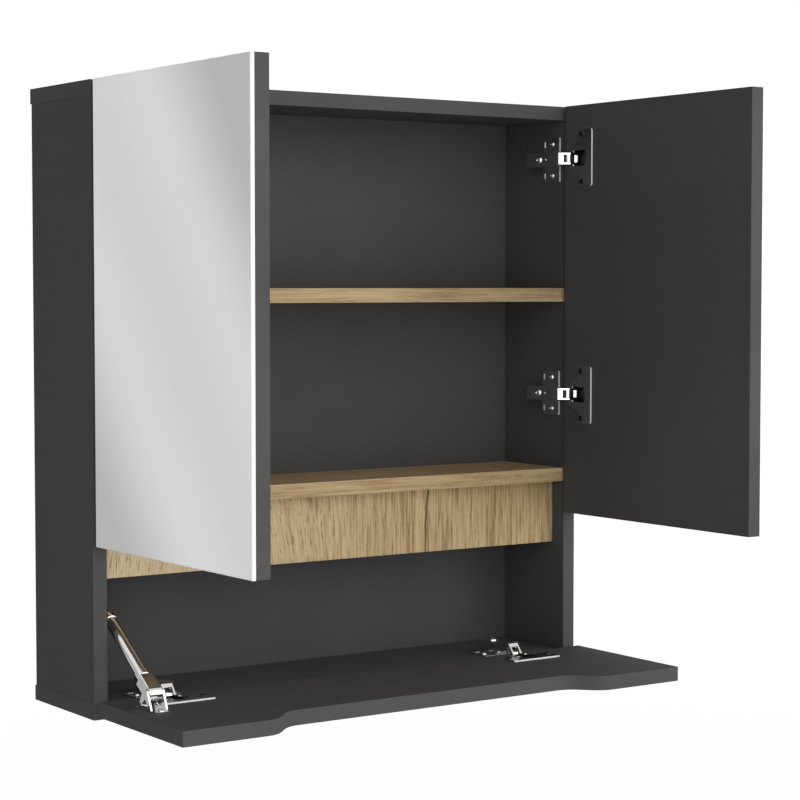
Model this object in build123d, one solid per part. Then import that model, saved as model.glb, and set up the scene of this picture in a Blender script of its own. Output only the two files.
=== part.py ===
from build123d import *
import os
from math import hypot

os.makedirs("parts", exist_ok=True)

# Carcass boards, in millimetres: X across, Y towards the wall, Z up from the underside
width = 600.0
height = 623.0
side_depth = 131.0
rear_lip = 3.0
board = 15.0
edge_break = 0.4

# Back panel, its grooves and the two rails behind it
back_thickness = 3.0
back_inset = 109.0
groove_depth = 6.0
groove_play = 0.1
rail_height = 70.0
spacer_height = 40.0

# Shelves and apron
lower_shelf_base = 205.5
apron_height = 70.0
apron_setback = 20.0
shelf_play = 0.5

# Doors and flap
leaf_inset = 1.0
middle_gap = 3.0
leaf_gap = 2.0
mirror_thickness = 4.0
flap_depth = 168.0
wave_depth = 28.0
wave_inner = 157.0
wave_outer = 210.0

# Where the hinges sit: below the cabinet top, above the door foot, in from the flap ends
upper_hinge_drop = 58.0
lower_hinge_rise = 133.0
flap_hinge_left = 73.0
flap_hinge_right = 96.0

# Cup hinge. On the arm side a runs inward from the outer face of the carrying board, b runs forward
# from the carcass front; on the leaf s runs from the hinge edge and n runs into the board
leaf_corner = (19.5, 5.77)
arm_pin = (29.5, 2.5)
inner_pin = (25.5, 5.46)
outer_cup_pin = (9.49, 5.19)
inner_cup_pin = (8.4, 9.2)
pin_radius = 1.0
running_play = 0.05
press_play = 0.02
cup_radius = 17.5
cup_centre = 22.0
cup_wall = 0.6
cup_floor = 0.8
cup_board_floor = 2.1
cup_play = 0.1
cup_mouth = 15.5
mouth_play = 0.4
pin_span = 9.4
neck = 1.2
neck_start = 7.5
neck_bend = 16.0
neck_half = (8.5, 11.0, 15.5)
flange = 1.8
flange_half = 31.8
flange_near = 26.5
flange_far = 48.0
flange_corner = 3.5
cup_screw_half = 26.0
cup_screw_s = 31.5
plate_thickness = 2.0
plate_half = 25.0
plate_front = 7.5
plate_rear = 36.5
plate_corner = 2.0
plate_screw_b = 20.5
plate_slot_b = 32.5
plate_slot = (7.0, 3.2)
plate_hole_half = 17.5
boss_front = 11.5
boss_rear = 44.0
boss_play = 0.3
boss_thread = 9.0
arm_half = 7.8
arm_sheet = 1.2
arm_top = 15.0
arm_rear = 49.0
arm_front = 3.0
arm_corner = 1.5
cheek_lift = 3.0
hood_rise = 2.7
hood_front = 9.0
hood_rear = 9.0
hood_sheet = 1.0
arm_slot = (7.5, 4.6)
arm_hole_radius = 1.3
arm_hole_b = (8.5, 41.7)
link_half = 6.3
link_sheet = 1.2
link_crest = 5.8
link_web = 1.0
link_eye = 0.9
link_play = 0.4
inner_link_half = 4.0

# Lid stay at the left end of the flap
stay_inset = 26.0
stay_pin_s = 64.0
stay_pin_rise = 16.0
stay_top_b = 99.0
stay_top_height = 150.0
stay_block = 14.0
stay_block_length = 21.0
stay_tube_length = 93.0
stay_bore_start = 18.0
stay_tube_radius = 6.0
stay_bore_radius = 4.0
stay_rod_radius = 3.7
stay_rod_seat = 11.0
stay_collar_radius = 6.75
stay_collar_length = 7.0
stay_pin_radius = 2.5
stay_eye_radius = 6.5
stay_eye_half = 4.4
stay_neck_radius = 5.0
stay_stud_radius = 4.0
stay_stud_gap = 0.3
stay_sheet = 2.0
ear_gap = 0.4
ear_thickness = 1.8
stay_foot_length = 44.0
stay_foot_screw_inset = 5.0
wall_plate_height = 36.0
wall_plate_half = 8.0
wall_plate_screw_inset = 6.0
stay_screw_radius = 1.6
stay_screw_length = 11.0

# Wall hangers
hanger_spread = 440.0
hanger_drop = 50.0
hanger_thickness = 2.0
keyhole_radius = 5.0
keyhole_slot = 2.6
keyhole_rise = 12.0
hanger_half_width = 17.0
hanger_half_height = 30.0
hanger_screw_inset = 7.0
hanger_screw_radius = 1.75
hanger_screw_length = 11.0
pocket_half = 7.0
pocket_depth = 9.0

# Fasteners
dowel_radius = 4.0
dowel_in_panel = 9.5
dowel_in_edge = 20.0
cam_radius = 7.5
cam_depth = 12.0
cam_setback = 24.0
cam_b = 70.0
bolt_radius = 3.0
dowel_b = (40.0, 98.0)
shelf_dowel_radius = 3.0
shelf_dowel_reach = 14.0
shelf_dowel_b = (25.0, 80.0)
apron_dowel_inset = 20.0
rail_dowel_inset = 18.0
end_play = 0.2
cup_screw_radius = 1.75
cup_screw_length = 12.0
plate_screw_radius = 2.0
plate_screw_length = 13.0
arm_screw_radius = 2.0
arm_screw_length = 8.0
arm_screw_b = 28.0
arm_adjuster_b = 16.0
screw_clearance = 0.1
head_lift = 0.3

front = -(side_depth + rear_lip)
rear = -rear_lip
half = width / 2
inner_half = half - board
back_face = front + back_inset
back_rear = back_face + back_thickness
door_foot = leaf_inset + flap_depth + leaf_gap
door_width = (width - 2 * leaf_inset - middle_gap) / 2
cup_depth = board - cup_board_floor
hinge_heights = (height - upper_hinge_drop, door_foot + lower_hinge_rise)
flap_hinges = (-half + flap_hinge_left, half - flap_hinge_right)
hanger_height = height - hanger_drop
flap_face = leaf_corner[0]
flap_edge = front - leaf_corner[1] - mirror_thickness


def block(x0, x1, y0, y1, z0, z1):
    return Pos((x0 + x1) / 2, (y0 + y1) / 2, (z0 + z1) / 2) * Box(x1 - x0, y1 - y0, z1 - z0)


def round_bar(start, end, radius):
    axis = Vector(*end) - Vector(*start)
    bar = Cylinder(radius, axis.length, align=(Align.CENTER, Align.CENTER, Align.MIN))
    return Plane(origin=start, z_dir=axis).location * bar


def plate_from(points, low, high):
    face = make_face(Polyline(*points, close=True))
    return Pos(0, 0, low) * extrude(face, high - low, dir=(0, 0, 1))


def save(name, *solids):
    shape = solids[0] if len(solids) == 1 else Compound(children=list(solids))
    export_step(Pos(0, 0, -hanger_height) * shape, f"parts/{name}.step")


def screw(radius, length, head_radius, head_height):
    # The head stands on the XY plane and the shank points down
    low = (Align.CENTER, Align.CENTER, Align.MIN)
    head = Cylinder(head_radius, head_height, align=low)
    head = chamfer(head.edges().group_by(Axis.Z)[-1], head_height * 0.45)
    slot = Box(head_radius, head_radius * 0.22, head_height, align=low)
    cross = Pos(0, 0, head_height * 0.5) * (slot + Rot(0, 0, 90) * slot)
    shank = Cylinder(radius, length, align=(Align.CENTER, Align.CENTER, Align.MAX))
    return head + shank - cross


# Sites for the arm side of a hinge: local x is a, local y is b, local z runs along the pins
def door_sites(side):
    return [
        Plane(origin=(side * half, front, z), x_dir=(-side, 0, 0), z_dir=(0, 0, side)).location
        for z in hinge_heights
    ]


def flap_sites():
    return [
        Plane(origin=(x, front - mirror_thickness, 0), x_dir=(0, 0, 1), z_dir=(1, 0, 0)).location
        for x in flap_hinges
    ]


# Sites for the leaf side of a hinge: local x is s, local y runs along the pins, local z leaves the board
def door_cups(side):
    return [
        Plane(
            origin=(side * (half - leaf_corner[0]), front - leaf_corner[1], z),
            x_dir=(0, -1, 0),
            z_dir=(-side, 0, 0),
        ).location
        for z in hinge_heights
    ]


def flap_cups():
    return [
        Plane(origin=(x, flap_edge, flap_face), x_dir=(0, -1, 0), z_dir=(0, 0, 1)).location
        for x in flap_hinges
    ]


# Carcass fasteners, found first so that every board takes its holes from them
def bore(start, end, radius):
    # The hole for a round piece: a little wider, and a little longer at both ends
    step = (Vector(*end) - Vector(*start)).normalized() * end_play
    return round_bar(tuple(Vector(*start) - step), tuple(Vector(*end) + step), radius + press_play)


dowels = []
cams = []
bolts = []
for side in (-1, 1):
    middle = side * (half - board / 2)
    face = side * inner_half
    for joint, up in ((board, 1), (height - board, -1)):
        foot = joint - up * dowel_in_panel
        for b in dowel_b:
            head = joint + up * dowel_in_edge
            dowels.append(((middle, front + b, foot), (middle, front + b, head), dowel_radius))
        y = front + cam_b
        centre = joint + up * cam_setback
        cams.append(((face, y, centre), (face + side * cam_depth, y, centre), cam_radius))
        bolts.append(((middle, y, foot), (middle, y, centre - up * (cam_radius + end_play * 2)), bolt_radius))

upper_shelf_base = (lower_shelf_base + height - board) / 2
apron_base = lower_shelf_base - apron_height
shelf_bases = (lower_shelf_base, upper_shelf_base)
apron_middle = front + apron_setback + board / 2
rail_middle = rear - board / 2
rail_base = height - board - rail_height
apron_dowel_heights = (apron_base + apron_dowel_inset, lower_shelf_base - apron_dowel_inset)
rail_dowel_heights = (rail_base + rail_dowel_inset, rail_base + rail_height - rail_dowel_inset)
shelf_dowels = []
for side in (-1, 1):
    spots = [(front + b, z + board / 2) for z in shelf_bases for b in shelf_dowel_b]
    spots += [(apron_middle, z) for z in apron_dowel_heights]
    spots += [(rail_middle, z) for z in rail_dowel_heights]
    spots.append((rail_middle, board + spacer_height / 2))
    for y, z in spots:
        ends = (side * (inner_half + dowel_in_panel), side * (inner_half - shelf_dowel_reach))
        shelf_dowels.append(((ends[0], y, z), (ends[1], y, z), shelf_dowel_radius))
corner_bores = [bore(*peg) for peg in dowels + bolts]
cam_bores = [bore(*peg) for peg in cams]
shelf_bores = [bore(*peg) for peg in shelf_dowels]


# Cup hinge pieces on the arm side
arm_face = board + arm_top
web_under = arm_face - arm_sheet


def hinge_plate():
    wings = block(board, board + plate_thickness, -plate_rear, -plate_front, -plate_half, plate_half)
    wings = fillet(wings.edges().filter_by(Axis.X), plate_corner)
    boss_half = arm_half - arm_sheet - boss_play
    boss = block(board, web_under, -boss_rear, -boss_front, -boss_half, boss_half)
    body = wings + boss
    for w in (-plate_hole_half, plate_hole_half):
        hole = (0, -plate_screw_b, w)
        body -= round_bar(hole, (board * 2, hole[1], w), plate_screw_radius + screw_clearance)
        slot = Plane(origin=(0, -plate_slot_b, w), x_dir=(0, 0, 1), z_dir=(1, 0, 0))
        body -= slot.location * extrude(SlotOverall(*plate_slot), board * 2)
    for b in (arm_screw_b, arm_adjuster_b):
        thread = arm_screw_radius + press_play
        body -= round_bar((web_under - boss_thread, -b, 0), (web_under, -b, 0), thread)
    return body


def hinge_arm():
    web = block(web_under, arm_face, -arm_rear, -arm_front, -arm_half, arm_half)
    body = fillet(web.edges().filter_by(Axis.X).group_by(Axis.Y)[0], arm_corner)
    low = board + cheek_lift
    cheek_low = arm_half - arm_sheet
    cheek = plate_from(
        [(low, -arm_rear + 8), (web_under, -arm_rear + 4), (web_under, -arm_front), (low, -2 * arm_front)],
        cheek_low,
        arm_half,
    )
    hood_top = arm_face + hood_rise
    hood_under = hood_top - hood_sheet
    pin_a, pin_b = inner_pin
    nose = plate_from(
        [
            (low + 1, -14), (arm_face, -14), (arm_face, -hood_rear), (hood_top, -hood_rear + 4),
            (hood_top, hood_front - 1), (arm_face, hood_front), (pin_a, pin_b + 2.6),
            (pin_a - 2.3, pin_b + 1.2), (pin_a - 2.6, arm_pin[1]), (low + 1, -4),
        ],
        cheek_low,
        arm_half,
    )
    hood = plate_from(
        [
            (web_under, -hood_rear), (arm_face, -hood_rear), (hood_top, -hood_rear + 4),
            (hood_top, hood_front - 1), (hood_top - 1.2, hood_front - 0.2),
            (hood_under - 0.2, hood_front - 1), (hood_under, -hood_rear + 4.6),
        ],
        -arm_half,
        arm_half,
    )
    body += [cheek, mirror_z(cheek), nose, mirror_z(nose), hood]
    for pin in (arm_pin, inner_pin):
        body -= round_bar((*pin, -arm_half - 1), (*pin, arm_half + 1), pin_radius + press_play)
    slot = Plane(origin=(web_under - 1, -arm_screw_b, 0), x_dir=(0, 1, 0), z_dir=(1, 0, 0))
    body -= slot.location * extrude(SlotOverall(*arm_slot), arm_sheet * 2)
    holes = [(b, arm_hole_radius) for b in arm_hole_b] + [(arm_adjuster_b, arm_screw_radius + boss_play)]
    for b, radius in holes:
        body -= round_bar((web_under - 2, -b, 0), (arm_face + 2, -b, 0), radius)
    return body


def mirror_z(shape):
    return mirror(shape, about=Plane.XY)


def arm_pins():
    return [round_bar((*pin, -arm_half), (*pin, arm_half), pin_radius) for pin in (arm_pin, inner_pin)]


# Links, drawn along the line between their two pins, y on the room side of that line
outer_pin_open = (leaf_corner[0] - outer_cup_pin[1], leaf_corner[1] + outer_cup_pin[0])
inner_pin_open = (leaf_corner[0] - inner_cup_pin[1], leaf_corner[1] + inner_cup_pin[0])


def along(start, end):
    towards = (end[0] - start[0], end[1] - start[1], 0)
    return Plane(origin=(*start, 0), x_dir=towards, z_dir=(0, 0, -1)).location


def outer_link():
    length = hypot(outer_pin_open[0] - arm_pin[0], outer_pin_open[1] - arm_pin[1])
    eye = pin_radius + link_eye
    crest = link_crest
    outline = [
        (-1.7, 0.8), (2.6, crest - 0.5), (3.0, crest), (length - 3.8, crest), (length + 1.2, 1.47),
        (length, 0), (length - 1.5, -0.9), (length - 5.4, 2.0), (8.2, 2.0), (6.7, 3.2), (3.2, 3.2),
        (1.9, 0), (0, 0),
    ]
    low = link_half - link_sheet
    cheek = plate_from(outline, low, link_half)
    cheek += round_bar((0, 0, low), (0, 0, link_half), eye)
    cheek += round_bar((length, 0, low), (length, 0, link_half), eye)
    # The web stops short, and two lips go on beside the room that the inner link needs
    web = block(3.0, 7.0, crest - link_web, crest, -link_half, link_half)
    lip = block(6.0, length - 3.8, crest - link_web, crest, inner_link_half + link_play, link_half)
    body = cheek + mirror_z(cheek) + web + lip + mirror_z(lip)
    for x in (0, length):
        body -= round_bar((x, 0, -link_half - 1), (x, 0, link_half + 1), pin_radius + running_play)
    return along(arm_pin, outer_pin_open) * body


def inner_link():
    length = hypot(inner_pin_open[0] - inner_pin[0], inner_pin_open[1] - inner_pin[1])
    gap = pin_radius + 0.25
    arm = gap + 0.5
    tip = length + 2.0
    outline = [
        (0, -1.4), (4.0, 0.6), (7.2, 3.4), (length - 8.3, 3.4), (length - 6.3, 1.6), (length - 4.3, 0.2),
        (length - 2.2, -arm), (tip - 0.6, -arm), (tip, -gap), (length - 1.35, -gap), (length - 1.35, gap),
        (tip, gap), (tip - 0.6, arm), (length - 2.2, arm), (length - 5.0, 3.0), (length - 7.9, 5.2),
        (7.0, 5.2), (5.2, 4.2), (3.0, 2.3), (0, 1.9),
    ]
    body = plate_from(outline, -inner_link_half, inner_link_half)
    body += round_bar((0, 0, -inner_link_half), (0, 0, inner_link_half), pin_radius + link_eye)
    body -= round_bar((0, 0, -inner_link_half - 1), (0, 0, inner_link_half + 1), pin_radius + running_play)
    return along(inner_pin, inner_pin_open) * body


# Cup and its parts on the leaf
def cup_hole():
    return Pos(cup_centre, 0, -cup_depth - cup_play) * Cylinder(
        cup_radius + cup_play, cup_depth + 5, align=(Align.CENTER, Align.CENTER, Align.MIN)
    )


def cup_pin_bars(radius):
    # The outer link turns on two stubs, so the inner link can pass between them
    span = pin_span
    stub = inner_link_half + 1.0
    s, n = outer_cup_pin
    bars = [round_bar((s, low, -n), (s, high, -n), radius) for low, high in ((-span, -stub), (stub, span))]
    s, n = inner_cup_pin
    return bars + [round_bar((s, -span, -n), (s, span, -n), radius)]


def hinge_cup():
    top = (Align.CENTER, Align.CENTER, Align.MAX)
    body = Pos(cup_centre, 0, 0) * Cylinder(cup_radius, cup_depth, align=top)
    bar = block(flange_near, flange_far, -flange_half, flange_half, 0, flange)
    bar = fillet(bar.edges().filter_by(Axis.Z), flange_corner)
    tip, bend, root = neck_half
    overlap = flange_near + 1
    tongue = plate_from(
        [
            (neck_start, -tip), (neck_bend, -bend), (overlap, -root),
            (overlap, root), (neck_bend, bend), (neck_start, tip),
        ],
        0,
        neck,
    )
    body = body + bar + tongue
    narrow = link_half + mouth_play
    wide = arm_half + mouth_play + boss_play
    floor = cup_floor - cup_depth
    room = block(0, cup_mouth, -narrow, narrow, floor, flange + 1)
    room += block(cup_mouth, 2 * cup_centre, -wide, wide, floor, flange + 1)
    room &= Pos(cup_centre, 0, 5) * Cylinder(cup_radius - cup_wall, cup_depth * 3, align=top)
    body -= room
    for bar in cup_pin_bars(pin_radius + press_play):
        body -= bar
    for w in (-cup_screw_half, cup_screw_half):
        hole = cup_screw_radius + screw_clearance
        body -= round_bar((cup_screw_s, w, -1), (cup_screw_s, w, flange + 1), hole)
    return body


def cup_screw_sites():
    return [Pos(cup_screw_s, w, flange) for w in (-cup_screw_half, cup_screw_half)]


cup_screw = screw(cup_screw_radius, cup_screw_length, 3.2, 0.9)
plate_screw = screw(plate_screw_radius, plate_screw_length, 3.2, 1.2)
arm_screw = screw(arm_screw_radius, arm_screw_length, 4.6, 1.6)
adjuster = round_bar((0, 0, -arm_screw_length), (0, 0, -0.2), arm_screw_radius)
adjuster -= Pos(0, 0, -0.9) * (Box(3.0, 0.7, 1.6) + Box(0.7, 3.0, 1.6))


def plate_screw_sites():
    return [
        Plane(origin=(board + plate_thickness, -plate_screw_b, w), z_dir=(1, 0, 0)).location
        for w in (-plate_hole_half, plate_hole_half)
    ]


def pilot(radius, length, sink):
    # Straight hole for a screw whose head stands above the board by the given amount
    return Pos(0, 0, -sink - length) * Cylinder(
        radius + press_play, length + sink, align=(Align.CENTER, Align.CENTER, Align.MIN)
    )


def screw_hole(radius, length, sheet):
    # The pilot in the board for a screw that goes through a sheet of that thickness first
    return pilot(radius, length - sheet + head_lift, sheet - head_lift)


plate_pilot = screw_hole(plate_screw_radius, plate_screw_length, plate_thickness)
cup_pilot = screw_hole(cup_screw_radius, cup_screw_length, flange)


def leaf_cuts(sites):
    cuts = []
    for site in sites:
        cuts.append(site * cup_hole())
        cuts += [site * spot * cup_pilot for spot in cup_screw_sites()]
    return cuts


def drill(body, cuts):
    for cut in cuts:
        body -= cut
    return body


left_sites = door_sites(-1)
right_sites = door_sites(1)
bottom_sites = flap_sites()
left_cup_sites = door_cups(-1)
right_cup_sites = door_cups(1)
flap_cup_sites = flap_cups()

# Lid stay, laid out in its own upright plane
stay_x = -half + stay_inset
stay_low = Vector(stay_x, flap_edge - stay_pin_s, flap_face + stay_pin_rise)
stay_high = Vector(stay_x, front + stay_top_b, stay_top_height)
stay_axis = (stay_high - stay_low).normalized()
stay_screw = screw(stay_screw_radius, stay_screw_length, 3.0, 1.5)
foot_reach = stay_foot_length / 2 - stay_foot_screw_inset
stay_foot_screws = [
    Pos(stay_x, stay_low.Y + step, flap_face + stay_sheet) for step in (-foot_reach, foot_reach)
]
wall_plate_face = -inner_half + stay_sheet
wall_plate_reach = wall_plate_height / 2 - wall_plate_screw_inset
wall_plate_screws = [
    Plane(origin=(wall_plate_face, stay_high.Y, stay_high.Z + step), z_dir=(1, 0, 0)).location
    for step in (-wall_plate_reach, wall_plate_reach)
]
stay_pilot = screw_hole(stay_screw_radius, stay_screw_length, stay_sheet)

# Carcass boards
groove = (back_face - groove_play, back_rear + groove_play)
hanger_z = (rail_base, rail_base + rail_height)


def side_panel(side, sites):
    inner = side * inner_half
    outer = side * half
    panel = block(min(inner, outer), max(inner, outer), front, rear, board, height - board)
    panel -= block(
        min(inner, inner + side * groove_depth), max(inner, inner + side * groove_depth), *groove, 0, height
    )
    cuts = [bar for bar in corner_bores + shelf_bores + cam_bores if bar.center().X * side > 0]
    for site in sites:
        cuts += [site * spot * plate_pilot for spot in plate_screw_sites()]
    if side < 0:
        cuts += [spot * stay_pilot for spot in wall_plate_screws]
    return drill(panel, cuts)


def end_panel(low, groove_low, groove_high, sites):
    panel = block(-half, half, front, 0, low, low + board)
    reach = inner_half + groove_depth
    panel -= block(-reach, reach, *groove, groove_low, groove_high)
    cuts = list(corner_bores)
    for site in sites:
        cuts += [site * spot * plate_pilot for spot in plate_screw_sites()]
    return drill(panel, cuts)


save("left_side_panel", side_panel(-1, left_sites))
save("right_side_panel", side_panel(1, right_sites))
save("bottom_panel", end_panel(0, board - groove_depth, board, bottom_sites))
save("top_panel", end_panel(height - board, height - board, height - board + groove_depth, []))

reach = groove_depth - 0.5
back = block(
    -inner_half - reach, inner_half + reach, back_face, back_rear, board - reach, height - board + reach
)
save("back_panel", back)

shelf_half = inner_half - shelf_play / 2
for name, base in (("upper_shelf", upper_shelf_base), ("lower_shelf", lower_shelf_base)):
    shelf = block(-shelf_half, shelf_half, front, back_face - shelf_play, base, base + board)
    save(name, drill(shelf, shelf_bores))
apron_front = front + apron_setback
apron = block(-shelf_half, shelf_half, apron_front, apron_front + board, apron_base, lower_shelf_base)
save("apron_rail", drill(apron, shelf_bores))

# Rails, with pockets behind the keyholes
keyholes = [(x, hanger_height) for x in (-hanger_spread / 2, hanger_spread / 2)]
hanger_reach = hanger_half_height - hanger_screw_inset
hanger_screw = screw(hanger_screw_radius, hanger_screw_length, 3.2, 0.9)
hanger_screw_sites = [
    Plane(origin=(x, rear + hanger_thickness, z + step), z_dir=(0, 1, 0)).location
    for x, z in keyholes
    for step in (-hanger_reach, hanger_reach)
]
hanger_pilot = screw_hole(hanger_screw_radius, hanger_screw_length, hanger_thickness)
rail = block(-shelf_half, shelf_half, rear - board, rear, *hanger_z)
pocket_low = keyhole_radius + 3
pocket_high = keyhole_rise + 6
pockets = [
    block(x - pocket_half, x + pocket_half, rear - pocket_depth, rear + 1, z - pocket_low, z + pocket_high)
    for x, z in keyholes
]
rail = drill(rail, shelf_bores + pockets + [spot * hanger_pilot for spot in hanger_screw_sites])
save("upper_hanging_rail", rail)
spacer = block(-shelf_half, shelf_half, rear - board, rear, board, board + spacer_height)
save("lower_spacer_rail", drill(spacer, shelf_bores))

hangers = []
for x, z in keyholes:
    plate = block(
        x - hanger_half_width, x + hanger_half_width, rear, rear + hanger_thickness,
        z - hanger_half_height, z + hanger_half_height,
    )
    plate = fillet(plate.edges().filter_by(Axis.Y), 4.0)
    plate -= round_bar((x, rear - 1, z), (x, 0, z), keyhole_radius)
    plate -= block(x - keyhole_slot, x + keyhole_slot, rear - 1, 0, z, z + keyhole_rise)
    plate -= round_bar((x, rear - 1, z + keyhole_rise), (x, 0, z + keyhole_rise), keyhole_slot)
    for step in (-hanger_reach, hanger_reach):
        hole = hanger_screw_radius + screw_clearance
        plate -= round_bar((x, rear - 1, z + step), (x, 0, z + step), hole)
    hangers.append(plate)
save("hanger_plates", *hangers)
save("hanger_screws", *[spot * hanger_screw for spot in hanger_screw_sites])
save("carcass_dowels", *[round_bar(*peg) for peg in dowels])
save("cam_bolts", *[round_bar(*peg) for peg in bolts])
save("shelf_dowels", *[round_bar(*peg) for peg in shelf_dowels])
fittings = []
for start, end, radius in cams:
    x, y, z = start
    slot = block(x - 0.8, x + 0.8, y - 5, y + 5, z - 0.7, z + 0.7)
    fittings.append(round_bar(start, end, radius) - slot)
save("cam_fittings", *fittings)


# Doors and their mirrors
def door(side, sites):
    inner = side * (half - leaf_corner[0])
    outer = inner + side * board
    face = outer + side * mirror_thickness
    near = front - leaf_corner[1]
    room = (near - door_width, near, door_foot, height)
    panel = block(min(inner, outer), max(inner, outer), *room)
    panel = chamfer(panel.edges(), edge_break)
    glass = block(min(outer, face), max(outer, face), *room)
    rim = glass.faces().sort_by(Axis.X)[-1 if side > 0 else 0].edges()
    return drill(panel, leaf_cuts(sites)), chamfer(rim, 0.6)


left_door, left_mirror = door(-1, left_cup_sites)
right_door, right_mirror = door(1, right_cup_sites)
save("left_door_board", left_door)
save("left_mirror", left_mirror)
save("right_door_board", right_door)
save("right_mirror", right_mirror)

# Flap with the wavy front edge
flap_half = half - leaf_inset
far = flap_edge - flap_depth
crest = far + wave_depth
edge = [
    Line((-flap_half, flap_edge), (-flap_half, far)),
    Line((-flap_half, far), (-wave_outer, far)),
    Spline((-wave_outer, far), (-wave_inner, crest), tangents=((1, 0), (1, 0))),
    Line((-wave_inner, crest), (wave_inner, crest)),
    Spline((wave_inner, crest), (wave_outer, far), tangents=((1, 0), (1, 0))),
    Line((wave_outer, far), (flap_half, far)),
    Line((flap_half, far), (flap_half, flap_edge)),
    Line((flap_half, flap_edge), (-flap_half, flap_edge)),
]
flap = Pos(0, 0, flap_face - board) * extrude(make_face(edge), board, dir=(0, 0, 1))
flap = drill(flap, leaf_cuts(flap_cup_sites) + [spot * stay_pilot for spot in stay_foot_screws])
save("flap_board", flap)

# Hinges, two on each leaf
leaves = (
    ("left_door", left_sites, left_cup_sites),
    ("right_door", right_sites, right_cup_sites),
    ("flap", bottom_sites, flap_cup_sites),
)
plates_screws = []
arms_screws = []
arms_pins = []
for leaf, sites, cups in leaves:
    save(f"{leaf}_hinge_plates", *[site * hinge_plate() for site in sites])
    save(f"{leaf}_hinge_arms", *[site * hinge_arm() for site in sites])
    save(f"{leaf}_outer_links", *[site * outer_link() for site in sites])
    save(f"{leaf}_inner_links", *[site * inner_link() for site in sites])
    save(f"{leaf}_hinge_cups", *[site * hinge_cup() for site in cups])
    save(f"{leaf}_cup_pins", *[site * bar for site in cups for bar in cup_pin_bars(pin_radius)])
    save(f"{leaf}_cup_screws", *[site * spot * cup_screw for site in cups for spot in cup_screw_sites()])
    for site in sites:
        plates_screws += [site * spot * plate_screw for spot in plate_screw_sites()]
        arms_pins += [site * bar for bar in arm_pins()]
        for b, piece in ((arm_screw_b, arm_screw), (arm_adjuster_b, adjuster)):
            spot = Plane(origin=(arm_face, -b, 0), z_dir=(1, 0, 0)).location
            arms_screws.append(site * spot * piece)
save("hinge_plate_screws", *plates_screws)
save("hinge_arm_screws", *arms_screws)
save("hinge_arm_pins", *arms_pins)

# Stay pieces: foot on the flap, block, tube, collars, rod and the stud plate on the side board
ear_low = stay_block / 2 + ear_gap
ear_high = ear_low + ear_thickness
ear_foot = stay_sheet / 2 - stay_pin_rise
stay_hole = stay_screw_radius + screw_clearance
foot_half = stay_foot_length / 2
foot = block(
    stay_x - ear_high, stay_x + ear_high, stay_low.Y - foot_half, stay_low.Y + foot_half,
    flap_face, flap_face + stay_sheet,
)
foot = fillet(foot.edges().filter_by(Axis.Z), 3.0)
ear_plane = Plane(origin=stay_low, x_dir=(0, 1, 0), z_dir=(1, 0, 0)).location
ear = plate_from(
    [(-13, ear_foot), (13, ear_foot), (4.5, 3.5), (2, 5), (-2, 5), (-4.5, 3.5)], ear_low, ear_high
)
ear -= plate_from([(-7.5, ear_foot + 3.5), (7.5, ear_foot + 3.5), (0, -4.5)], ear_low - 1, ear_high + 1)
foot += ear_plane * (ear + mirror_z(ear))
foot -= ear_plane * round_bar((0, 0, -ear_high - 1), (0, 0, ear_high + 1), stay_pin_radius + press_play)
for spot in stay_foot_screws:
    foot -= spot * pilot(stay_hole, 2 * stay_sheet, stay_sheet)
save("stay_foot", foot)
save("stay_foot_pin", ear_plane * round_bar((0, 0, -ear_high), (0, 0, ear_high), stay_pin_radius))
save("stay_foot_screws", *[spot * stay_screw for spot in stay_foot_screws])

# The block turns on the foot's pin, and the tube and its collars stand on the block
stay_frame = Plane(origin=stay_low, x_dir=(1, 0, 0), z_dir=stay_axis).location
half_block = stay_block / 2
tube_end = stay_block_length + stay_tube_length
stay_bore = round_bar((0, 0, stay_bore_start), (0, 0, tube_end + 1), stay_bore_radius)
eye = block(-half_block, half_block, -half_block, half_block, 0, stay_block_length)
eye = chamfer(eye.edges().filter_by(Axis.Z), 0.8)
eye += round_bar((-half_block, 0, 0), (half_block, 0, 0), half_block)
eye -= round_bar((-stay_block, 0, 0), (stay_block, 0, 0), stay_pin_radius + running_play)
save("stay_block", stay_frame * (eye - stay_bore))
tube = round_bar((0, 0, stay_block_length), (0, 0, tube_end), stay_tube_radius)
save("stay_tube", stay_frame * (tube - stay_bore))
collars = []
for low in (stay_block_length + 1.5, tube_end - stay_collar_length - 1.5):
    collar = round_bar((0, 0, low), (0, 0, low + stay_collar_length), stay_collar_radius)
    collar = chamfer(collar.edges().filter_by(GeomType.CIRCLE), 0.5)
    collars.append(collar - round_bar((0, 0, 0), (0, 0, tube_end + 5), stay_tube_radius + press_play))
save("stay_collars", *[stay_frame * collar for collar in collars])

# The rod slides in the tube, and its eye stands beside the stud
stay_length = (stay_high - stay_low).length
rod_end = stay_length - stay_eye_radius + 0.5
rod = round_bar((0, 0, tube_end - stay_rod_seat), (0, 0, rod_end), stay_rod_radius)
save("stay_rod", stay_frame * rod)
rod_eye = round_bar((-stay_eye_half, 0, stay_length), (stay_eye_half, 0, stay_length), stay_eye_radius)
socket = round_bar((0, 0, stay_length - 9), (0, 0, stay_length - 4), stay_neck_radius)
rod_eye += socket & block(-stay_eye_half, stay_eye_half, -stay_neck_radius, stay_neck_radius, 0, stay_length)
rod_eye -= round_bar((0, 0, 0), (0, 0, rod_end), stay_rod_radius + press_play)
rod_eye -= round_bar((-9, 0, stay_length), (9, 0, stay_length), stay_stud_radius - 1)
save("stay_rod_eye", stay_frame * rod_eye)

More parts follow.
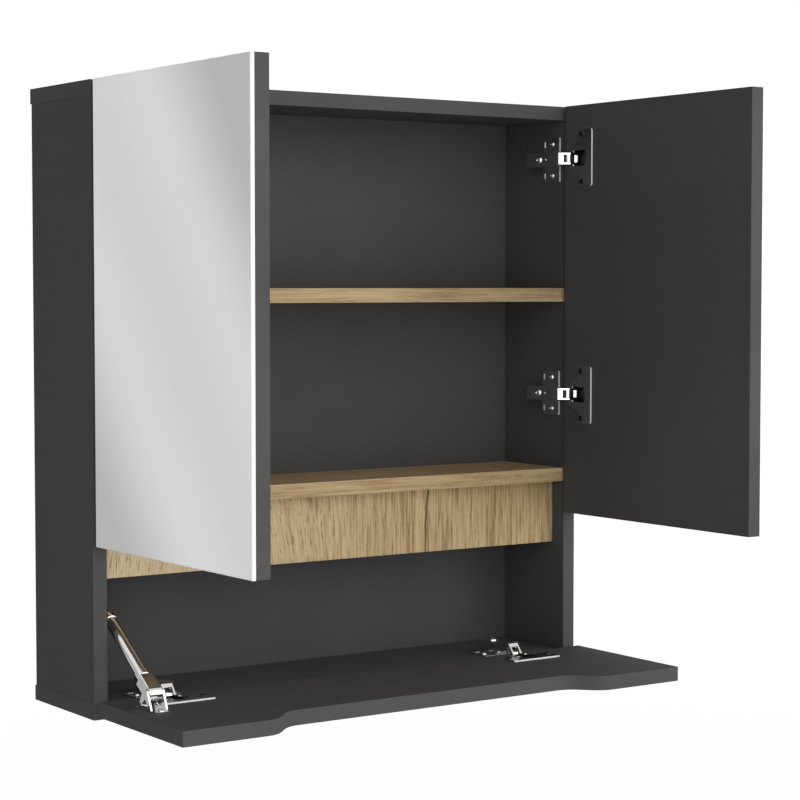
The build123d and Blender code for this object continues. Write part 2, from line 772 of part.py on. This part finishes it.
stud_end = stay_x - stay_eye_half - stay_stud_gap
wall_plate = block(
    -inner_half, wall_plate_face, stay_high.Y - wall_plate_half, stay_high.Y + wall_plate_half,
    stay_high.Z - wall_plate_height / 2, stay_high.Z + wall_plate_height / 2,
)
wall_plate = fillet(wall_plate.edges().filter_by(Axis.X), 3.0)
stud = (stay_high.Y, stay_high.Z)
wall_plate += round_bar((-inner_half, *stud), (stud_end, *stud), stay_stud_radius)
for spot in wall_plate_screws:
    wall_plate -= spot * pilot(stay_hole, 2 * stay_sheet, stay_sheet)
save("stay_stud_plate", wall_plate)
save("stay_stud_screws", *[spot * stay_screw for spot in wall_plate_screws])
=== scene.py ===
# %% [markdown]
# # A mirrored wall cabinet, dressed for the camera
#
# The cabinet's shapes are solids from a CAD program: boards, shelves, mirrors, hinges and a lid stay.
# Blender adds what a drawing lacks: the finish of each piece, the light and the view. So this lesson
# is mostly about materials made of nodes, and about where lamps go for dark board and bright metal.
#
# First the imported solids are loaded. They are a fixed frame: no piece is moved or bent here. The box
# round them is kept, and the floor and the lamps are placed from it.

# %% Load the cabinet
from math import cos, pi, radians, sin

import bpy
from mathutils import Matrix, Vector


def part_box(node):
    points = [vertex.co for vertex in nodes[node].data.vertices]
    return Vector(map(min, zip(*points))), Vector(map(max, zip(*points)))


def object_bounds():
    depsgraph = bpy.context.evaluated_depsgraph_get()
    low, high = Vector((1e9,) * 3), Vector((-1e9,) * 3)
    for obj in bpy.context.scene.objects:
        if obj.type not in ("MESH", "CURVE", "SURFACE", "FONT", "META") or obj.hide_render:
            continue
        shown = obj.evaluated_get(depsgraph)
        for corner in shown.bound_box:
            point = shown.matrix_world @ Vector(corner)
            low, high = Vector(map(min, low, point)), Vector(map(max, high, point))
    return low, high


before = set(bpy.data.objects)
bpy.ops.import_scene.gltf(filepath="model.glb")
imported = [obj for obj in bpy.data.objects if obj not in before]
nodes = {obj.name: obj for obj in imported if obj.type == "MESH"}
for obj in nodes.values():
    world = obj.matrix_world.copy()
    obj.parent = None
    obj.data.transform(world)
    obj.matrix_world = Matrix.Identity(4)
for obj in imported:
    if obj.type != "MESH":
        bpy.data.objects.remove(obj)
cad_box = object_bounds()
MM = 0.001
print("pieces in the cabinet:", len(nodes))

# %% [markdown]
# ## Sums on a surface
#
# A procedural finish is a sum worked out at every point of a surface. In Blender each plus or times
# is a node, which makes long wiring for short sums. The class below wraps one node output, so that
# Python's own + - * / build those nodes, and a finish reads like the formula it is.

# %% A value that changes over a surface
class Value:
    def __init__(self, tree, socket):
        self.tree = tree
        self.socket = socket

    def math(self, operation, first, second=None, clamp=False):
        node = self.tree.nodes.new("ShaderNodeMath")
        node.operation = operation
        node.use_clamp = clamp
        for place, term in zip(node.inputs, (first, second)):
            if isinstance(term, Value):
                self.tree.links.new(term.socket, place)
            elif term is not None:
                place.default_value = term
        return Value(self.tree, node.outputs[0])

    def __add__(self, other):
        return self.math("ADD", self, other)

    def __sub__(self, other):
        return self.math("SUBTRACT", self, other)

    def __rsub__(self, other):
        return self.math("SUBTRACT", other, self)

    def __mul__(self, other):
        return self.math("MULTIPLY", self, other)

    def __truediv__(self, other):
        return self.math("DIVIDE", self, other)

    def __abs__(self):
        return self.math("ABSOLUTE", self)

    __radd__ = __add__
    __rmul__ = __mul__

    def ramp(self, low, high):
        """0 below low and 1 above high, with an even slope between; low may be the larger."""
        return self.math("MULTIPLY", self - low, 1 / (high - low), clamp=True)

# %% [markdown]
# A finish is one material: its shader, which is the physical surface, and the nodes that feed it.
# The class below keeps them together. Its node method adds any node by type, with settings first,
# because some settings change which sockets a node has, and then the values or links of its sockets.

# %% A finish
class Finish:
    def __init__(self, name, **constants):
        self.material = bpy.data.materials.new(name)
        self.material.use_nodes = True
        self.tree = self.material.node_tree
        self.shader = self.tree.nodes["Principled BSDF"]
        for socket, value in constants.items():
            self.shader.inputs[socket.replace("_", " ")].default_value = value

    def node(self, kind, settings=None, sockets=None, output=0):
        node = self.tree.nodes.new(kind)
        for name, value in (settings or {}).items():
            if name == "stops":
                ramp = node.color_ramp
                ramp.interpolation = "EASE" if "ease" in settings else "LINEAR"
                while len(ramp.elements) < len(value):
                    ramp.elements.new(0.5)
                for element, (place, colour) in zip(ramp.elements, value):
                    element.position = place
                    element.color = (*colour, 1)
            elif name != "ease":
                setattr(node, name, value)
        for socket, value in (sockets or {}).items():
            if isinstance(value, Value):
                self.tree.links.new(value.socket, node.inputs[socket])
            else:
                node.inputs[socket].default_value = value
        return Value(self.tree, node.outputs[output])

    def feed(self, **values):
        for socket, value in values.items():
            self.tree.links.new(value.socket, self.shader.inputs[socket.replace("_", " ")])

    def place(self):
        """Where a point is, in metres, in the piece's own frame."""
        return self.node("ShaderNodeTexCoord", output="Object")

    def axis(self, vector, letter):
        return self.node("ShaderNodeSeparateXYZ", sockets={0: vector}, output=letter)

    def facing(self, letter):
        """1 where the surface faces along that axis, either way, and 0 where it faces across it."""
        normal = self.node("ShaderNodeTexCoord", output="Normal")
        return abs(self.axis(normal, letter))

    def stretch(self, scale, turn=(0, 0, 0), place=None):
        place = place or self.place()
        return self.node(
            "ShaderNodeMapping", sockets={"Vector": place, "Scale": scale, "Rotation": turn}
        )

    def noise(self, vector, scale, detail=2.0, roughness=0.5, distortion=0.0):
        return self.node(
            "ShaderNodeTexNoise",
            sockets={
                "Vector": vector, "Scale": scale, "Detail": detail, "Roughness": roughness,
                "Distortion": distortion,
            },
        )

    def colours(self, value, *stops):
        return self.node("ShaderNodeValToRGB", {"stops": stops}, {0: value})

    def mix(self, factor, first, second):
        """The first colour where factor is 0 and the second where it is 1."""
        return self.node(
            "ShaderNodeMix", {"data_type": "RGBA"}, {0: factor, 6: first, 7: second}, output=2
        )

    def bump(self, height, depth, normal=None):
        """depth is the height in metres of a rise from 0 to 1."""
        sockets = {"Height": height, "Distance": depth, "Strength": 1.0}
        if normal is not None:
            sockets["Normal"] = normal
        return self.node("ShaderNodeBump", sockets=sockets)

    def soft_edges(self, radius):
        """A normal that rounds sharp edges by that radius, as worn or broken edges are."""
        return self.node("ShaderNodeBevel", {"samples": 6}, {"Radius": radius})


def grey(level):
    return (level, level, level)


def rgb(text):
    """A colour as a web page writes it, such as b49d74, as the linear numbers that a shader takes."""
    parts = [int(text[i:i + 2], 16) / 255 for i in (0, 2, 4)]
    return tuple(p / 12.92 if p <= 0.04045 else ((p + 0.055) / 1.055) ** 2.4 for p in parts)


def colour(text):
    return (*rgb(text), 1)

# %% [markdown]
# ## Dark board
#
# The carcass, doors and flap are chipboard pressed under printed paper that is soaked in resin. The
# face is a dark grey with a very fine pearl, felt more than seen, and it is matt, so its gloss is
# kept low. The cut edges are covered by a thin plastic strip of the same grey, a little smoother, and
# where it meets the face there is a hair line. So the finish needs to know face from edge, which it
# tells by the way the surface faces, and where the board ends, which comes from the piece's own box.

# %% The melamine face, the edging strip and the line between them
PEARL_SCALE = 1500
CLOUD_SCALE = 9
SCUFF_SCALE = (60, 6, 60)
SCUFF_TURN = (0.4, 0.9, 0.3)
STRIP = 0.9 * MM
LINE = 0.25 * MM
AXES = "XYZ"


def dark_board(node, across):
    """across is the axis that runs through the board's thickness."""
    low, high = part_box(node)
    finish = Finish(f"dark_board_{node}", IOR=1.45, Specular_IOR_Level=0.08)
    place = finish.place()
    pearl = finish.noise(place, PEARL_SCALE, detail=1)
    cloud = finish.noise(place, CLOUD_SCALE, detail=3)
    scuffs = finish.noise(finish.stretch(SCUFF_SCALE, SCUFF_TURN), 1, detail=4)
    face = finish.facing(across).ramp(0.6, 0.8)
    tone = pearl * 0.5 + cloud * 0.5
    paper = finish.colours(tone, (0.25, rgb("4b4b4b")), (0.75, rgb("565656")))
    strip = finish.colours(cloud, (0.3, rgb("4f4f4f")), (0.7, rgb("565656")))
    seam = None
    for letter in AXES.replace(across, ""):
        i = AXES.index(letter)
        middle = (low[i] + high[i]) / 2
        reach = (high[i] - low[i]) / 2 - STRIP
        away = abs(abs(finish.axis(place, letter) - middle) - reach)
        line = away.ramp(LINE, LINE / 3)
        seam = line if seam is None else seam.math("MAXIMUM", seam, line)
    seam = seam * face
    base = finish.mix(face, strip, paper)
    base = finish.mix(seam * 0.5, base, colour("2c2c2c"))
    height = pearl * face - seam
    finish.feed(
        Base_Color=base,
        Roughness=0.68 + scuffs * 0.14 - (1 - face) * 0.08,
        Normal=finish.bump(height, 0.012 * MM, finish.soft_edges(0.5 * MM)),
    )
    return finish.material


BOARDS = {
    "left_side_panel": "X", "right_side_panel": "X", "top_panel": "Z", "bottom_panel": "Z",
    "back_panel": "Y", "upper_hanging_rail": "Y", "lower_spacer_rail": "Y",
    "left_door_board": "X", "right_door_board": "X", "flap_board": "Z",
}


def dress(node, material):
    mesh = nodes[node].data
    mesh.materials.clear()
    mesh.materials.append(material)
    for face in mesh.polygons:
        face.material_index = 0


for board, across in BOARDS.items():
    dress(board, dark_board(board, across))
print("dark boards:", len(BOARDS))

# %% [markdown]
# ## Oak
#
# The shelves and the apron are oak veneer on board. Oak shows several things at once: broad bands
# where the year rings were sliced, finer lines between them, streaks along the grain, and short dark
# pores that look like pencil dashes and sit on the darker lines. Each is a noise pulled long in one
# direction, at its own size. The grain of a shelf runs along it, and that of the apron runs upright,
# so the grain's axis is an argument. The apron turns paler towards its left end, its grain leans a
# little left of the middle, and a hair crack runs up it.

# %% Veneer with rings, lines, streaks and pores
RING_SCALE = 45
LINE_SCALE = 330
STREAK_SCALE = 800
PORE_SCALE = 900
SPECK_SCALE = 540
CRACK_AT = 109 * MM
PORE_BROWN, SPECK_BROWN, CRACK_BROWN = "63492f", "664c2f", "3a2825"
PALER_LEFT_TONE = "dfcba8"


def oak(name, grain, dark, middle, light, pores=0.5, crack=None, pale=None, lean=None, fine=1):
    """pale is where the paler tone starts and where it is palest; fine above 1 narrows the lines."""
    finish = Finish(name, IOR=1.5, Specular_IOR_Level=0.3)
    along = AXES.index(grain)
    place = lean(finish) if lean else finish.place()

    def pulled(across, ratio):
        scale = [across, across, across]
        scale[along] = across / ratio
        return finish.stretch(tuple(scale), place=place)

    rings = finish.noise(pulled(RING_SCALE, 12), 1, detail=3, distortion=0.8)
    lines = finish.noise(pulled(LINE_SCALE * fine, 26), 1, detail=2, distortion=0.4)
    streaks = finish.noise(pulled(STREAK_SCALE, 40), 1, detail=4, roughness=0.65)
    dashes = finish.noise(pulled(PORE_SCALE, 9), 1, detail=1)
    broad = 0.28 / fine
    tone = rings * broad + (lines + streaks) * ((1 - broad) / 2)
    base = finish.colours(tone, (0.40, rgb(dark)), (0.49, rgb(middle)), (0.60, rgb(light)))
    pore = lines.ramp(0.52, 0.40) * dashes.ramp(0.46, 0.6)
    base = finish.mix(pore * pores, base, colour(PORE_BROWN))
    height = streaks * 0.4 - pore
    if pale is not None:
        where = finish.axis(finish.place(), "X")
        # Paler towards the left end, by place along X.
        base = finish.mix(where.ramp(*pale) * 0.65, base, colour(PALER_LEFT_TONE))
        specks = finish.noise(pulled(SPECK_SCALE, 7), 1, detail=2).ramp(0.57, 0.68)
        base = finish.mix(where.ramp(*SPECKLED) * specks * 0.65, base, colour(SPECK_BROWN))
    if crack is not None:
        split = crack(finish)
        base = finish.mix(split * 0.85, base, colour(CRACK_BROWN))
        height = height - split * 3
    finish.feed(
        Base_Color=base,
        Roughness=0.5 + dashes * 0.12,
        Normal=finish.bump(height, 0.04 * MM, finish.soft_edges(0.4 * MM)),
    )
    return finish.material


def upright_crack(finish):
    """1 on a wandering hair crack that runs up the whole apron, a little wider at the top."""
    place = finish.place()
    wander = finish.noise(finish.stretch((0, 0, 60)), 1, detail=3) - 0.5
    up = finish.axis(place, "Z").ramp(apron_low.z, apron_high.z)
    off = abs(finish.axis(place, "X") - CRACK_AT - up * up * 4 * MM + wander * 4 * MM)
    return (off - up * 0.9 * MM).ramp(1.1 * MM, 0.3 * MM)


def leaning(finish):
    """The place, slid sideways with height, so that the grain leans right on its way down left of the
    middle, and the other way at the far left."""
    place = finish.place()
    x, y, z = (finish.axis(place, letter) for letter in AXES)
    lean = x.ramp(15 * MM, -45 * MM) * 0.16 - x.ramp(-110 * MM, -200 * MM) * 0.24
    slid = x + lean * (z - apron_low.z)
    return finish.node("ShaderNodeCombineXYZ", sockets={"X": slid, "Y": y, "Z": z})


apron_low, apron_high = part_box("apron_rail")
SHELF_OAK = ("a3885f", "b49a73", "c1a882")
for shelf in ("upper_shelf", "lower_shelf"):
    dress(shelf, oak(f"oak_{shelf}", "X", *SHELF_OAK, pores=0.3))
APRON_OAK = ("9b7e54", "b69c73", "c7af87")
PALE_END = (apron_low.x + 350 * MM, apron_low.x)
SPECKLED = (60 * MM, -40 * MM)
dress("apron_rail", oak(
    "oak_apron", "Z", *APRON_OAK, crack=upright_crack, pale=PALE_END, lean=leaning, fine=1.5,
))
print("apron from", round(apron_low.x, 3), "to", round(apron_high.x, 3))

# %% [markdown]
# ## Mirrors
#
# A mirror is clear glass with silver on its back. Seen from the front it is almost a perfect metal,
# and its ground edge is frosted and looks nearly white. A metal shader for the face and a rough,
# plain one for the edge do this with far less work than glass over silver.

# %% Silvered face and ground edge
HAZE_SCALE = 7
GRIT_SCALE = 2500


def mirror_glass():
    finish = Finish("mirror_glass", IOR=1.5)
    face = finish.facing("X").ramp(0.9, 0.98)
    haze = finish.noise(finish.place(), HAZE_SCALE, detail=3)
    silver = finish.colours(haze, (0.3, rgb("ebebeb")), (0.7, rgb("efefef")))
    ground = finish.colours(haze, (0.3, rgb("f1f3f2")), (0.7, rgb("fafbfa")))
    grit = finish.noise(finish.place(), GRIT_SCALE, detail=1)
    finish.feed(
        Base_Color=finish.mix(face, ground, silver),
        Metallic=face,
        Roughness=0.45 - face * 0.43 + haze * 0.015,
        Normal=finish.bump(grit * (1 - face), 0.01 * MM),
    )
    return finish.material


glass = mirror_glass()
for door in ("left", "right"):
    dress(f"{door}_mirror", glass)

# %% [markdown]
# ## Metals
#
# The hinges are pressed from steel strip and nickel plated, which keeps the faint grain of the rolled
# sheet. The stay is turned and chromed, so it is the brightest. Screws are zinc plated and duller, and
# the wall plates are plain galvanised sheet. One function makes all of them from a colour, a
# roughness, how much that roughness varies, and the size of its grain.

# %% Plated and galvanised steel
# Steel colours for painted shade and for a painted highlight.
PAINTED_SHADE_STEEL = "33312f"
PAINTED_HIGHLIGHT_STEEL = "fbfbfa"
TARNISH_SCALE = 45


def plated(
    name, low, high, roughness, change, scale, pull=(1, 1, 1), depth=0.002, painted_shade=None, painted_highlight=None
):
    """The last two, if given, take the finish and mask where shade and a highlight are painted in."""
    finish = Finish(name, Metallic=1.0)
    wide = finish.noise(finish.place(), TARNISH_SCALE, detail=3)
    grain = finish.noise(finish.stretch(tuple(scale * p for p in pull)), 1, detail=3)
    base = finish.colours(wide * 0.6 + grain * 0.4, (0.3, rgb(low)), (0.7, rgb(high)))
    rough = roughness + (wide * 0.5 + grain * 0.5 - 0.5) * change
    if painted_shade is not None:
        where = painted_shade(finish)
        # Painted shade: a dark steel colour, rougher, where the mask is 1.
        base = finish.mix(where, base, colour(PAINTED_SHADE_STEEL))
        rough = rough + where * 0.3
    if painted_highlight is not None:
        where = painted_highlight(finish)
        # Painted highlight: near white, hardly metal and rougher, where the mask is 1.
        base = finish.mix(where, base, colour(PAINTED_HIGHLIGHT_STEEL))
        rough = rough + where * 0.35
        finish.feed(Metallic=1 - where * 0.85)
    finish.feed(
        Base_Color=base,
        Roughness=rough,
        Normal=finish.bump(grain, depth * MM, finish.soft_edges(0.12 * MM)),
    )
    return finish.material


NICKEL = ("cdccc9", "dedddb", 0.17, 0.16, 600, (1, 1, 0.15))
nickel = plated("hinge_nickel", *NICKEL)
chrome = plated("stay_chrome", "cfcfce", "e2e2e1", 0.1, 0.1, 900)
zinc = plated("screw_zinc", "b9bbbf", "d0d2d4", 0.3, 0.2, 900)
black_zinc = plated("black_zinc", "2b2b2d", "3a3a3c", 0.42, 0.2, 900)
galvanised = plated("galvanised_plate", "a7abad", "c4c8ca", 0.38, 0.25, 160, depth=0.006)
print("metals:", [m.name for m in (nickel, chrome, zinc, black_zinc, galvanised)])

# %% [markdown]
# Shade and highlights are painted onto the hinges. Below its flange the deep-drawn cup is painted
# dark, as painted shade in its recess, and so are the arm's faces that face the room, its cut and
# bent front among them. The edges of the flange and of the plate that face the room are painted pale
# and satin, a painted highlight that shows as thin bright lines. Which way a cup faces comes from
# how its leaf hangs.

# %% Painted shade in the cups and on the arms, painted highlights on the edges
FLANGE = 1.9 * MM
CUP_OPENS = {"left_door": ("X", 1), "right_door": ("X", 0), "flap": ("Z", 1)}


def facing_room(finish):
    return finish.facing("Y").ramp(0.5, 0.8)


def cup_nickel(leaf):
    letter, side = CUP_OPENS[leaf]
    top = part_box(f"{leaf}_hinge_cups")[side][AXES.index(letter)]

    # Painted shade inside the cup, deeper than its flange.
    def painted_shade_in_cup(finish):
        below = (top - finish.axis(finish.place(), letter)) * (1 if side else -1)
        return below.ramp(FLANGE, FLANGE + 0.3 * MM)

    # Painted highlight on the flange's faces that face the room, outside the painted shade.
    def rim(finish):
        return facing_room(finish) * (1 - painted_shade_in_cup(finish))

    return plated(f"cup_nickel_{leaf}", *NICKEL, painted_shade=painted_shade_in_cup, painted_highlight=rim)


# Painted highlight on the plate's faces that face the room.
plate_nickel = plated("plate_nickel", *NICKEL, painted_highlight=facing_room)
# Painted shade on the arm's faces that face the room.
arm_nickel = plated("arm_nickel", *NICKEL, painted_shade=facing_room)
METALS = {
    "hinge_plates": plate_nickel, "hinge_arms": arm_nickel,
    "outer_links": nickel, "inner_links": nickel,
    "cup_pins": black_zinc, "cup_screws": black_zinc,
}
NICKEL_FIXINGS = (
    "hinge_plate_screws", "hinge_arm_screws", "hinge_arm_pins", "stay_foot_screws",
    "stay_stud_screws",
)
for leaf in CUP_OPENS:
    dress(f"{leaf}_hinge_cups", cup_nickel(leaf))
    for piece, metal in METALS.items():
        dress(f"{leaf}_{piece}", metal)
for piece in ("foot", "foot_pin", "block", "tube", "collars", "rod", "rod_eye", "stud_plate"):
    dress(f"stay_{piece}", chrome)
for piece in NICKEL_FIXINGS:
    dress(piece, nickel)
for piece in ("hanger_screws", "cam_bolts"):
    dress(piece, zinc)
dress("hanger_plates", galvanised)
print("dark wells in the cups of:", ", ".join(CUP_OPENS))

# %% [markdown]
# A cam fitting is a zinc barrel that turns in the side panel. Its round face is all that shows, and
# a thin cap in the colour of the board covers that, so the two materials share one piece.

# %% Cam fittings with a cap
def capped_cam():
    finish = Finish("capped_cam", IOR=1.45, Specular_IOR_Level=0.1)
    cap = finish.facing("X").ramp(0.9, 0.98)
    speckle = finish.noise(finish.place(), PEARL_SCALE, detail=1)
    metal = finish.colours(speckle, (0.3, rgb("b9bbbf")), (0.7, rgb("d0d2d4")))
    plastic = finish.colours(speckle, (0.3, rgb("4b4b4b")), (0.7, rgb("555555")))
    finish.feed(
        Base_Color=finish.mix(cap, metal, plastic),
        Metallic=1 - cap,
        Roughness=0.3 + cap * 0.35 + speckle * 0.05,
    )
    return finish.material


dress("cam_fittings", capped_cam())

# %% [markdown]
# ## Beech pegs
#
# The boards meet on beech dowels. They are hidden in their holes, but a reader who takes the cabinet
# apart finds them, so they get their pale, finely flecked wood too.

# %% Beech with its small flecks
def beech(name, grain):
    finish = Finish(name, Roughness=0.62)
    scale = [500, 500, 500]
    scale[AXES.index(grain)] = 60
    flecks = finish.noise(finish.stretch(tuple(scale)), 1, detail=3)
    finish.feed(
        Base_Color=finish.colours(flecks, (0.35, rgb("b98f63")), (0.6, rgb("d7b58a"))),
        Normal=finish.bump(flecks, 0.02 * MM),
    )
    return finish.material


dress("carcass_dowels", beech("beech_upright", "Z"))
dress("shelf_dowels", beech("beech_level", "X"))

# %% [markdown]
# ## Floor and daylight
#
# A catalogue picture of a hung cabinet has a white ground. Brightening the lamps until the ground
# burns out would wash out the dark boards too. Instead the sky and the floor look white to the
# camera, and to rays that come off metal and glass, while the light that they give stays modest.

# %% What the camera and the metal see
SKY = 0.04
FLOOR_DROP = 0.42
FLOOR_REACH = 7.0
FLOOR_GLOW = 0.93
FLOOR_FADE = (0.8, 2.6)


def seen_as_background(finish):
    rays = None
    for ray in ("Is Camera Ray", "Is Glossy Ray", "Is Transmission Ray"):
        one = finish.node("ShaderNodeLightPath", output=ray)
        rays = one if rays is None else rays + one
    return rays.math("MINIMUM", rays, 1.0)


class Sky(Finish):
    def __init__(self, name):
        self.material = bpy.data.worlds.new(name)
        self.material.use_nodes = True
        self.tree = self.material.node_tree
        self.shader = self.tree.nodes["Background"]


sky = Sky("white_sky")
seen = seen_as_background(sky)
sky.feed(Color=sky.mix(seen, (SKY, SKY, SKY, 1), (1, 1, 1, 1)))
bpy.context.scene.world = sky.material

# %% The floor
FLOOR_SIDES = 64
PATCH_SCALE = 1.5


def round_floor():
    turns = [2 * pi * i / FLOOR_SIDES for i in range(FLOOR_SIDES)]
    rim = [(FLOOR_REACH * cos(turn), FLOOR_REACH * sin(turn)) for turn in turns]
    level = cad_box[0].z - FLOOR_DROP
    mesh = bpy.data.meshes.new("floor")
    mesh.from_pydata([(x, y, level) for x, y in rim], [], [tuple(range(FLOOR_SIDES))])
    floor = bpy.data.objects.new("floor", mesh)
    bpy.context.scene.collection.objects.link(floor)
    finish = Finish("pale_floor", Roughness=0.6)
    patches = finish.noise(finish.place(), PATCH_SCALE, detail=2)
    finish.feed(Base_Color=finish.colours(patches, (0.3, grey(0.8)), (0.7, grey(0.84))))
    away = finish.node(
        "ShaderNodeVectorMath", {"operation": "LENGTH"}, {0: finish.place()}, output="Value"
    )
    whiteness = FLOOR_GLOW + away.ramp(*FLOOR_FADE) * (1 - FLOOR_GLOW)
    glow = finish.node("ShaderNodeEmission")
    blend = finish.node(
        "ShaderNodeMixShader",
        sockets={
            0: seen_as_background(finish) * whiteness,
            1: Value(finish.tree, finish.shader.outputs[0]),
            2: glow,
        },
    )
    finish.tree.links.new(blend.socket, finish.tree.nodes["Material Output"].inputs[0])
    mesh.materials.append(finish.material)
    return level


print("floor at", round(round_floor(), 3))

# %% [markdown]
# ## Lamps
#
# Dark board shows its shape only by how bright each side is. The widest lamp stands right in front:
# it is so wide that light comes round the doors, and what lies deep in the cabinet still sees less of
# it than the edges do, which is how a recess reads as deep. A weaker lamp on the left keeps the sides
# about half as bright as the edges, and one on the right lifts the back panel beside the open door.
# A last one stands behind, for views of the wall side.

# %% Four soft lamps
def soft_lamp(name, place, aim, size, watts):
    lamp = bpy.data.lights.new(name, "AREA")
    lamp.shape = "RECTANGLE"
    lamp.size, lamp.size_y = size
    lamp.energy = watts
    holder = bpy.data.objects.new(name, lamp)
    bpy.context.scene.collection.objects.link(holder)
    holder.location = place
    away = holder.location - aim
    holder.rotation_euler = away.to_track_quat("Z", "Y").to_euler()
    return holder


middle = (cad_box[0] + cad_box[1]) / 2
lamps = (
    soft_lamp("wide_front", (0.0, -2.6, 0.1), middle, (5.0, 4.0), 92),
    soft_lamp("left_fill", (-2.5, -1.8, 0.2), middle, (2.5, 2.5), 13),
    soft_lamp("right_fill", (2.2, -2.4, 0.2), middle, (2.5, 2.5), 22),
    soft_lamp("wall_side", (0.6, 3.0, 1.2), middle, (2.0, 2.0), 40),
)
print("lamps:", [lamp.name for lamp in lamps])

# %% [markdown]
# A mirror shows only what stands in front of it, so a photographer hangs plain paper cards for it to
# reflect. The card here stands behind the cabinet on the left, out of the picture, and it glows:
# across it runs a painted band of light, a broad slant of light grey with a slightly darker middle,
# which fades to a deeper grey. Only glossy rays meet the card, so it lights nothing and casts no
# shadow.

# %% A glowing card for the mirror to reflect
BAND_SLANT = 0.344
BAND_WIDTH = 0.25


def mirror_card(name, centre, turn, side):
    mesh = bpy.data.meshes.new(name)
    reach = side / 2
    corners = [(-reach, 0, -reach), (reach, 0, -reach), (reach, 0, reach), (-reach, 0, reach)]
    mesh.from_pydata(corners, [], [(0, 1, 2, 3)])
    card = bpy.data.objects.new(name, mesh)
    bpy.context.scene.collection.objects.link(card)
    card.location = centre
    card.rotation_euler = (0, 0, radians(turn))
    finish = Finish(
        f"{name}_paper", Base_Color=(0, 0, 0, 1), Specular_IOR_Level=0.0, Emission_Strength=1.0
    )
    place = finish.place()
    across = abs(finish.axis(place, "Z") * BAND_SLANT - finish.axis(place, "X")) / BAND_WIDTH
    stops = ((0.0, rgb("dddddd")), (0.38, rgb("e4e4e4")), (0.88, rgb("c2c2c2")))
    band = finish.node("ShaderNodeValToRGB", {"ease": True, "stops": stops}, {0: across})
    # The card's light is its painted band, given off as emission.
    finish.feed(Emission_Color=band)
    mesh.materials.append(finish.material)
    card.visible_camera = False
    card.visible_diffuse = False
    card.visible_shadow = False
    return card


mirror_card("left_card", (-1.069, 1.117, -0.22), 28.5, 1.7)

# %% [markdown]
# ## The view
#
# The photograph was taken from the left and almost level, from well away, so its lines barely
# converge. A long lens at the same place gives the same shape on the picture.

# %% Camera
STANDPOINT = (-1.24812, -2.04698, -0.14843)
TILT, PAN = 87.0, -34.41
LENS = 98.275

camera = bpy.data.cameras.new("view")
camera.sensor_fit = "HORIZONTAL"
camera.sensor_width = 36.0
camera.lens = LENS
tripod = bpy.data.objects.new("view", camera)
bpy.context.scene.collection.objects.link(tripod)
tripod.location = STANDPOINT
tripod.rotation_euler = (radians(TILT), 0, radians(PAN))
bpy.context.scene.camera = tripod
bpy.context.scene.view_settings.view_transform = "Standard"
